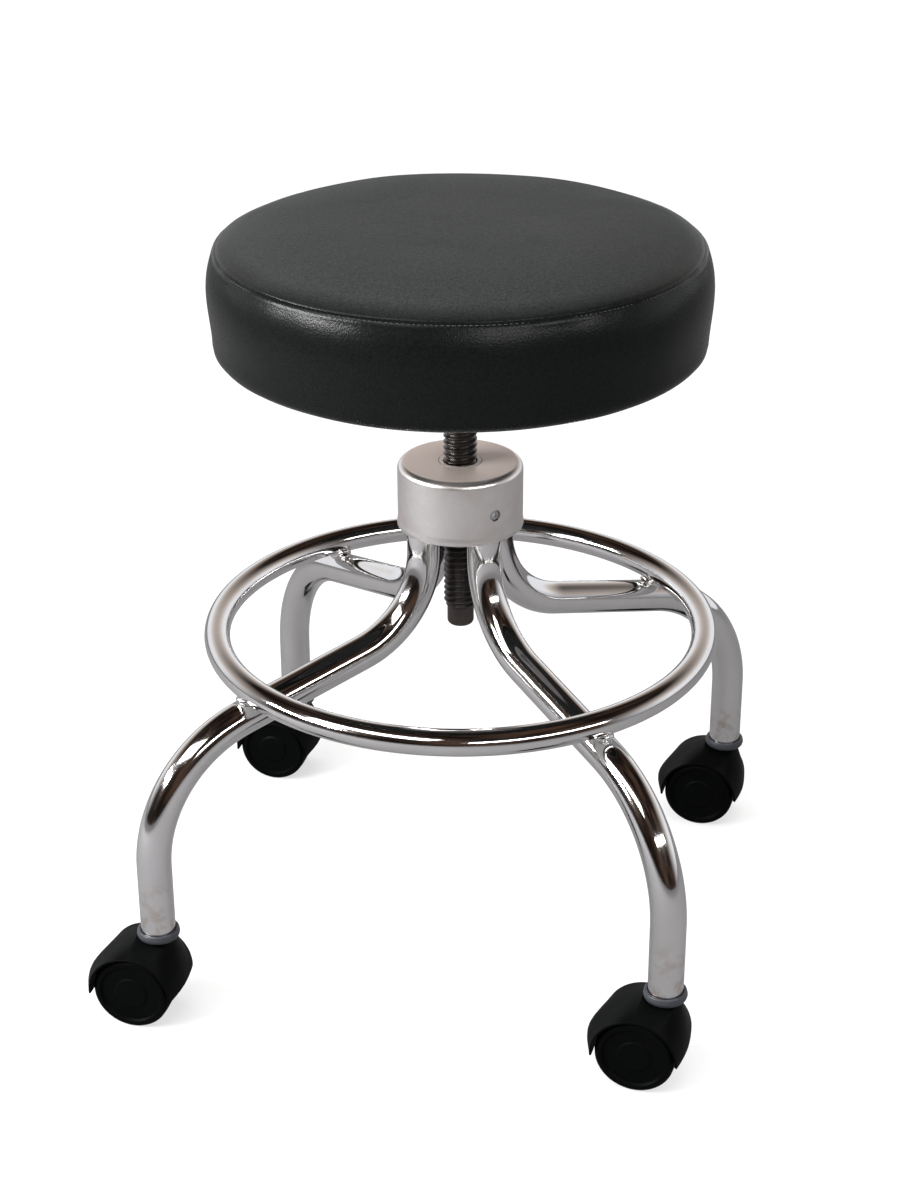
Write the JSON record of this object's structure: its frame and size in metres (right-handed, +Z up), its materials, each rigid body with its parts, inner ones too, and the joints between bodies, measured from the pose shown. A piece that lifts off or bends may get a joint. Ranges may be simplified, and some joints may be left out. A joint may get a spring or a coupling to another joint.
{
  "type": "rolling stool",
  "caption": "Round padded stool whose seat turns up and down on a lift screw, on bent tube legs with a foot ring and twin-wheel swivel casters.",
  "frame": {"origin": "on the floor, under the centre of the stool's bounding box at rest, with the casters trailing to -X; the seat's axis stands 18.0 mm to +X and 0.7 mm to -Y of it", "axes": "+Z up; the legs stand at 45 degrees to X and Y; the picture looks along +Y, turned 12.5 degrees to -X"},
  "size_m": [0.4379, 0.4208, 0.5565],
  "materials": {
    "vinyl": "black upholstery vinyl with a fine grain, soft sheen",
    "foam": "seat foam",
    "plywood": "raw plywood",
    "cloth": "black woven dust cover",
    "chrome": "polished chrome plate on steel tube",
    "satin_steel": "satin, turned",
    "steel": "zinc plated",
    "dark_steel": "dark oxide",
    "blackened_steel": "black oxide thread, oiled",
    "nylon": "turned nylon",
    "collar_plastic": "moulded, blue grey",
    "black_plastic": "moulded, black, half gloss"
  },
  "bodies": {
    "base": {"hub_cover": "satin_steel", "hub_nut": "steel", "set_screw": "dark_steel", "foot_ring": "chrome", "leg_front_right": "chrome", "socket_front_right": "collar_plastic", "stem_front_right": "steel", "leg_rear_right": "chrome", "socket_rear_right": "collar_plastic", "stem_rear_right": "steel", "leg_rear_left": "chrome", "socket_rear_left": "collar_plastic", "stem_rear_left": "steel", "leg_front_left": "chrome", "socket_front_left": "collar_plastic", "stem_front_left": "steel"},
    "guide_bush": {"guide_bush": "nylon"},
    "seat": {"seat_cover": "vinyl", "seat_foam": "foam", "seat_board": "plywood", "seat_dust_cover": "cloth", "seat_plate": "steel", "boss_pin": "dark_steel", "plate_screw_1": "steel", "plate_screw_2": "steel", "plate_screw_3": "steel", "plate_screw_4": "steel", "lift_screw": "blackened_steel"},
    "caster_front_right": {"hood_front_right": "black_plastic", "axle_front_right": "steel"},
    "wheel_front_right_a": {"wheel_front_right_a": "black_plastic"},
    "wheel_front_right_b": {"wheel_front_right_b": "black_plastic"},
    "caster_rear_right": {"hood_rear_right": "black_plastic", "axle_rear_right": "steel"},
    "wheel_rear_right_a": {"wheel_rear_right_a": "black_plastic"},
    "wheel_rear_right_b": {"wheel_rear_right_b": "black_plastic"},
    "caster_rear_left": {"hood_rear_left": "black_plastic", "axle_rear_left": "steel"},
    "wheel_rear_left_a": {"wheel_rear_left_a": "black_plastic"},
    "wheel_rear_left_b": {"wheel_rear_left_b": "black_plastic"},
    "caster_front_left": {"hood_front_left": "black_plastic", "axle_front_left": "steel"},
    "wheel_front_left_a": {"wheel_front_left_a": "black_plastic"},
    "wheel_front_left_b": {"wheel_front_left_b": "black_plastic"}
  },
  "joints": [
    {"name": "seat_turn", "type": "hinge", "parent": "base", "child": "guide_bush", "pos_m": [0.018, -0.0007, 0.3785], "axis": [0, 0, 1], "range_deg": [-4680, 5040]},
    {"name": "seat_lift", "type": "slide", "parent": "guide_bush", "child": "seat", "axis": [0, 0, 1], "range_m": [-0.0599, 0.0645]},
    {"name": "swivel_front_right", "type": "hinge", "parent": "base", "child": "caster_front_right", "pos_m": [0.20135, -0.18405, 0.0679], "axis": [0, 0, 1], "continuous": true},
    {"name": "roll_front_right_a", "type": "hinge", "parent": "caster_front_right", "child": "wheel_front_right_a", "pos_m": [0.18531, -0.18271, 0.0285], "axis": [0.0837, 0.9965, 0], "continuous": true},
    {"name": "roll_front_right_b", "type": "hinge", "parent": "caster_front_right", "child": "wheel_front_right_b", "pos_m": [0.18531, -0.18271, 0.0285], "axis": [0.0837, 0.9965, 0], "continuous": true},
    {"name": "swivel_rear_right", "type": "hinge", "parent": "base", "child": "caster_rear_right", "pos_m": [0.20135, 0.18265, 0.0679], "axis": [0, 0, 1], "continuous": true},
    {"name": "roll_rear_right_a", "type": "hinge", "parent": "caster_rear_right", "child": "wheel_rear_right_a", "pos_m": [0.18528, 0.18355, 0.0285], "axis": [0.0558, 0.9984, 0], "continuous": true},
    {"name": "roll_rear_right_b", "type": "hinge", "parent": "caster_rear_right", "child": "wheel_rear_right_b", "pos_m": [0.18528, 0.18355, 0.0285], "axis": [0.0558, 0.9984, 0], "continuous": true},
    {"name": "swivel_rear_left", "type": "hinge", "parent": "base", "child": "caster_rear_left", "pos_m": [-0.16535, 0.18265, 0.0679], "axis": [0, 0, 1], "continuous": true},
    {"name": "roll_rear_left_a", "type": "hinge", "parent": "caster_rear_left", "child": "wheel_rear_left_a", "pos_m": [-0.18143, 0.18349, 0.0285], "axis": [0.0523, 0.9986, 0], "continuous": true},
    {"name": "roll_rear_left_b", "type": "hinge", "parent": "caster_rear_left", "child": "wheel_rear_left_b", "pos_m": [-0.18143, 0.18349, 0.0285], "axis": [0.0523, 0.9986, 0], "continuous": true},
    {"name": "swivel_front_left", "type": "hinge", "parent": "base", "child": "caster_front_left", "pos_m": [-0.16535, -0.18405, 0.0679], "axis": [0, 0, 1], "continuous": true},
    {"name": "roll_front_left_a", "type": "hinge", "parent": "caster_front_left", "child": "wheel_front_left_a", "pos_m": [-0.18145, -0.18363, 0.0285], "axis": [0.0262, 0.9997, 0], "continuous": true},
    {"name": "roll_front_left_b", "type": "hinge", "parent": "caster_front_left", "child": "wheel_front_left_b", "pos_m": [-0.18145, -0.18363, 0.0285], "axis": [0.0262, 0.9997, 0], "continuous": true}
  ],
  "couplings": [
    {"joint": "seat_lift", "follows": "seat_turn", "m_per_rad": 0.00073211}
  ]
}
